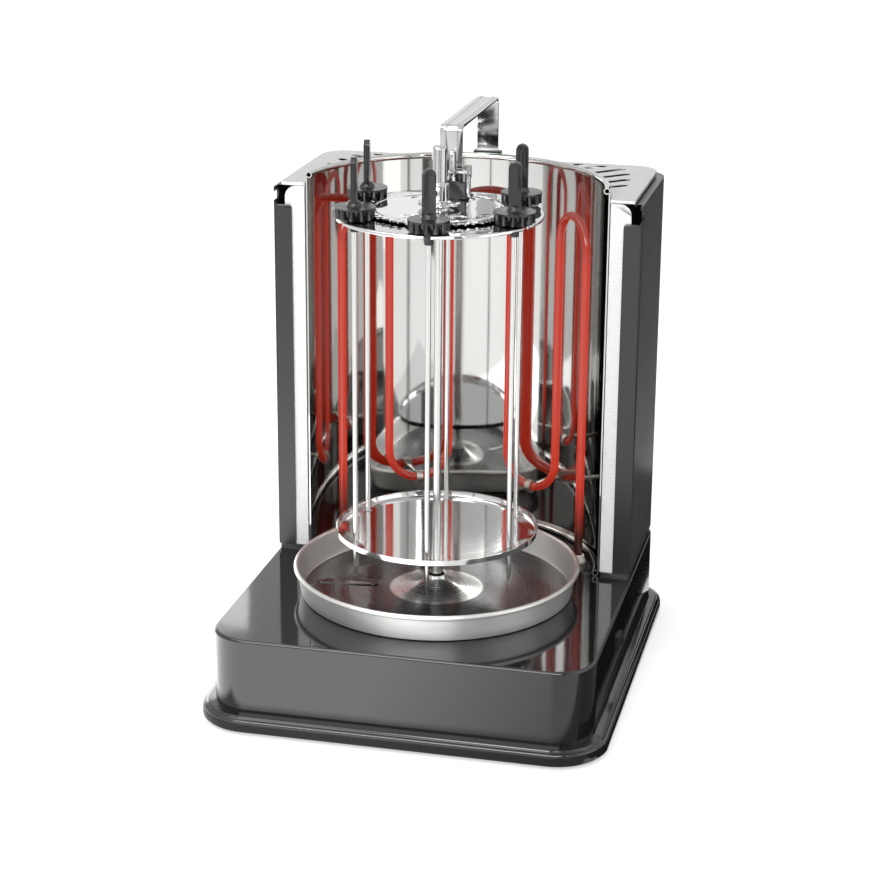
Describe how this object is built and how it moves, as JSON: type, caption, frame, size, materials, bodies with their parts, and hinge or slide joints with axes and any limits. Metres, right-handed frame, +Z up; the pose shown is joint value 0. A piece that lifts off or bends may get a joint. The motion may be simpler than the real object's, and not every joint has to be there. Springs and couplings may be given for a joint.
{
  "type": "vertical skewer grill",
  "caption": "Free-standing electric vertical skewer grill: geared carousel of self-turning skewers over a drip tray, mirror reflector column with tube heater, and lift-off arm.",
  "frame": {"origin": "on the table under the middle of the base", "axes": "+Z up, front of the grill towards -Y, +X to the right seen from the front"},
  "size_m": [0.31, 0.348, 0.4306],
  "materials": {
    "gloss_housing": "gloss",
    "plinth_plastic": "satin gloss",
    "black_plastic": "moulded",
    "switch_plastic": "moulded",
    "rubber": "moulded",
    "zinc_steel": "zinc plated",
    "bearing_brass": "sintered",
    "ceramic": "fired, unglazed",
    "black_panel": "satin enamel",
    "bright_flange": "satin",
    "mirror_steel": "polished",
    "satin_steel": "satin",
    "tray_steel": "polished",
    "stamped_steel": "polished",
    "rod_steel": "polished",
    "chrome": "polished",
    "pinion_plastic": "moulded",
    "heater_glow": "glowing"
  },
  "bodies": {
    "stand": {"base_plinth": "plinth_plastic", "base_housing": "gloss_housing", "bottom_cover": "black_plastic", "foot_1": "rubber", "foot_2": "rubber", "foot_3": "rubber", "foot_4": "rubber", "switch_bezel": "switch_plastic", "drive_motor": "zinc_steel", "motor_bracket": "zinc_steel", "spindle_bearing": "bearing_brass", "terminal_block": "ceramic", "thermal_cutout": "ceramic", "cable_gland": "black_plastic", "column_base": "black_plastic", "rear_casing": "black_panel", "side_panel_left": "black_panel", "side_panel_right": "black_panel", "front_flange_left": "bright_flange", "front_flange_right": "bright_flange", "reflector": "mirror_steel", "top_vent_plate": "satin_steel", "heater": "heater_glow", "heater_ferrule_left": "ceramic", "heater_ferrule_right": "ceramic", "heater_clip_left": "satin_steel", "heater_clip_right": "satin_steel", "arm_socket": "black_plastic", "drip_tray": "tray_steel", "sun_gear": "stamped_steel"},
    "carousel": {"drive_spindle": "rod_steel", "centre_shaft": "rod_steel", "lower_plate": "stamped_steel", "carrier_disc": "stamped_steel", "hub_spacer": "stamped_steel", "hub_cap": "chrome"},
    "spit_1": {"skewer_1": "rod_steel", "pinion_1": "pinion_plastic"},
    "spit_2": {"skewer_2": "rod_steel", "pinion_2": "pinion_plastic"},
    "spit_3": {"skewer_3": "rod_steel", "pinion_3": "pinion_plastic"},
    "spit_4": {"skewer_4": "rod_steel", "pinion_4": "pinion_plastic"},
    "spit_5": {"skewer_5": "rod_steel", "pinion_5": "pinion_plastic"},
    "spit_6": {"skewer_6": "rod_steel", "pinion_6": "pinion_plastic"},
    "arm": {"arm_strap": "chrome", "arm_clip": "chrome", "arm_foot": "black_plastic", "arm_pin": "chrome"},
    "rocker": {"switch_rocker": "switch_plastic"}
  },
  "joints": [
    {"name": "carousel_spin", "type": "hinge", "parent": "stand", "child": "carousel", "pos_m": [0, -0.028, 0.1], "axis": [0, 0, 1], "continuous": true},
    {"name": "spit_1_spin", "type": "hinge", "parent": "carousel", "child": "spit_1", "pos_m": [0.05391, 0.01262, 0.372], "axis": [0, 0, 1], "continuous": true},
    {"name": "spit_2_spin", "type": "hinge", "parent": "carousel", "child": "spit_2", "pos_m": [-0.00823, 0.039, 0.372], "axis": [0, 0, 1], "continuous": true},
    {"name": "spit_3_spin", "type": "hinge", "parent": "carousel", "child": "spit_3", "pos_m": [-0.06213, -0.00163, 0.372], "axis": [0, 0, 1], "continuous": true},
    {"name": "spit_4_spin", "type": "hinge", "parent": "carousel", "child": "spit_4", "pos_m": [-0.05391, -0.06862, 0.372], "axis": [0, 0, 1], "continuous": true},
    {"name": "spit_5_spin", "type": "hinge", "parent": "carousel", "child": "spit_5", "pos_m": [0.00823, -0.095, 0.372], "axis": [0, 0, 1], "continuous": true},
    {"name": "spit_6_spin", "type": "hinge", "parent": "carousel", "child": "spit_6", "pos_m": [0.06213, -0.05437, 0.372], "axis": [0, 0, 1], "continuous": true},
    {"name": "arm_lift", "type": "slide", "parent": "stand", "child": "arm", "axis": [0, 0, 1], "range_m": [0, 0.03]},
    {"name": "switch_rock", "type": "hinge", "parent": "stand", "child": "rocker", "pos_m": [0.145, -0.0315, 0.045], "axis": [0, 0, 1], "range_deg": [0, 16]}
  ],
  "couplings": [
    {"joint": "spit_1_spin", "follows": "carousel_spin", "ratio": 4},
    {"joint": "spit_2_spin", "follows": "carousel_spin", "ratio": 4},
    {"joint": "spit_3_spin", "follows": "carousel_spin", "ratio": 4},
    {"joint": "spit_4_spin", "follows": "carousel_spin", "ratio": 4},
    {"joint": "spit_5_spin", "follows": "carousel_spin", "ratio": 4},
    {"joint": "spit_6_spin", "follows": "carousel_spin", "ratio": 4}
  ]
}
